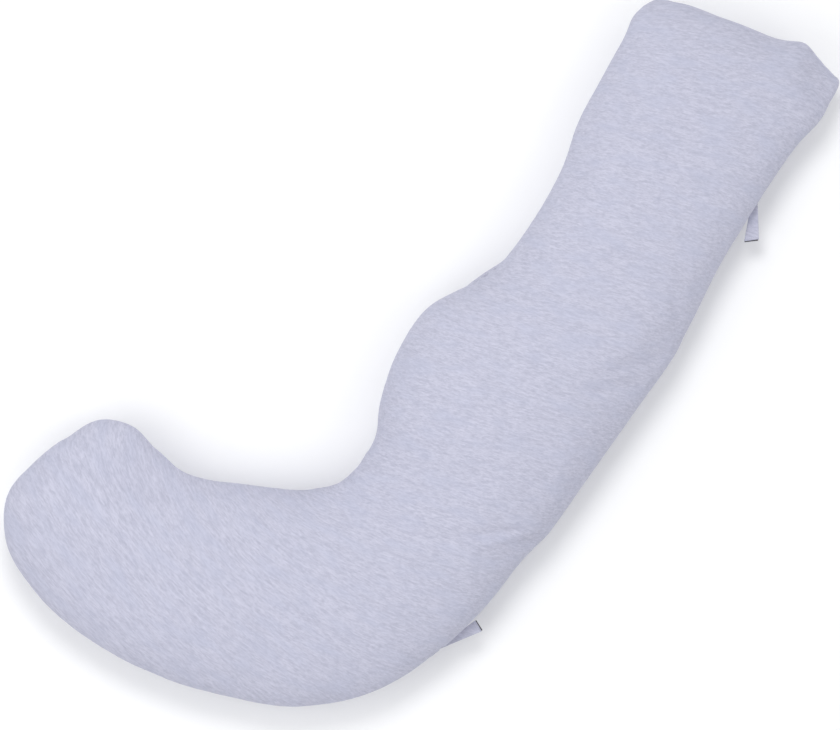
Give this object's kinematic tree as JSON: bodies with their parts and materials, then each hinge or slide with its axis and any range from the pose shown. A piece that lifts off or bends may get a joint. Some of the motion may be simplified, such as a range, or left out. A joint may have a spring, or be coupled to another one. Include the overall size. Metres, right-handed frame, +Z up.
{
  "type": "nursing pillow",
  "caption": "J-shaped maternity and nursing pillow: zipped jersey cover over a fibre-filled casing, with fabric tabs on its outer seam.",
  "frame": {"origin": "on the ground, under the middle of the pillow's box", "axes": "+Z up; +Y along the straight outer side, towards the wide end; -X is the open side of the hook"},
  "size_m": [0.7474, 1.4334, 0.18],
  "materials": {
    "cover_jersey": "brushed heather stretch jersey",
    "cover_thread": "overlocked jersey",
    "casing_cotton": "plain woven cotton",
    "fibre_fill": "loose hollow fibre",
    "zip_tape": "woven tape",
    "zip_coil": "satin nylon",
    "zip_metal": "satin nickel",
    "tab_patch": "hook and loop",
    "label_satin": "satin ribbon"
  },
  "bodies": {
    "pillow": {"cover_top_panel": "cover_jersey", "cover_bottom_panel": "cover_jersey", "cover_seam": "cover_thread", "casing_top_panel": "casing_cotton", "casing_bottom_panel": "casing_cotton", "casing_seam": "casing_cotton", "fill_core": "fibre_fill", "zip_tape_upper": "zip_tape", "zip_tape_lower": "zip_tape", "zip_coil_upper": "zip_coil", "zip_coil_lower": "zip_coil", "zip_top_stop_upper": "zip_metal", "zip_top_stop_lower": "zip_metal", "zip_bottom_stop": "zip_metal", "care_label": "label_satin"},
    "zip_slider": {"zip_slider": "zip_metal"},
    "zip_pull": {"zip_pull": "zip_metal"},
    "upper_tab": {"upper_tab_strap": "cover_jersey", "upper_tab_patch": "tab_patch"},
    "lower_tab": {"lower_tab_strap": "cover_jersey", "lower_tab_patch": "tab_patch"}
  },
  "joints": [
    {"name": "zip_slide", "type": "slide", "parent": "pillow", "child": "zip_slider", "axis": [0, 1, 0], "range_m": [0, 0.277]},
    {"name": "zip_pull_swing", "type": "hinge", "parent": "zip_slider", "child": "zip_pull", "pos_m": [0.36725, -0.11185, 0.068], "axis": [0, 0, 1], "range_deg": [0, 170]},
    {"name": "upper_tab_flap", "type": "hinge", "parent": "pillow", "child": "upper_tab", "pos_m": [0.3349, 0.4638, 0.068], "axis": [0.0577, -0.9983, 0], "range_deg": [-70, 60]},
    {"name": "lower_tab_flap", "type": "hinge", "parent": "pillow", "child": "lower_tab", "pos_m": [0.33535, -0.3991, 0.068], "axis": [-0.257, -0.9664, 0], "range_deg": [-70, 60]}
  ]
}
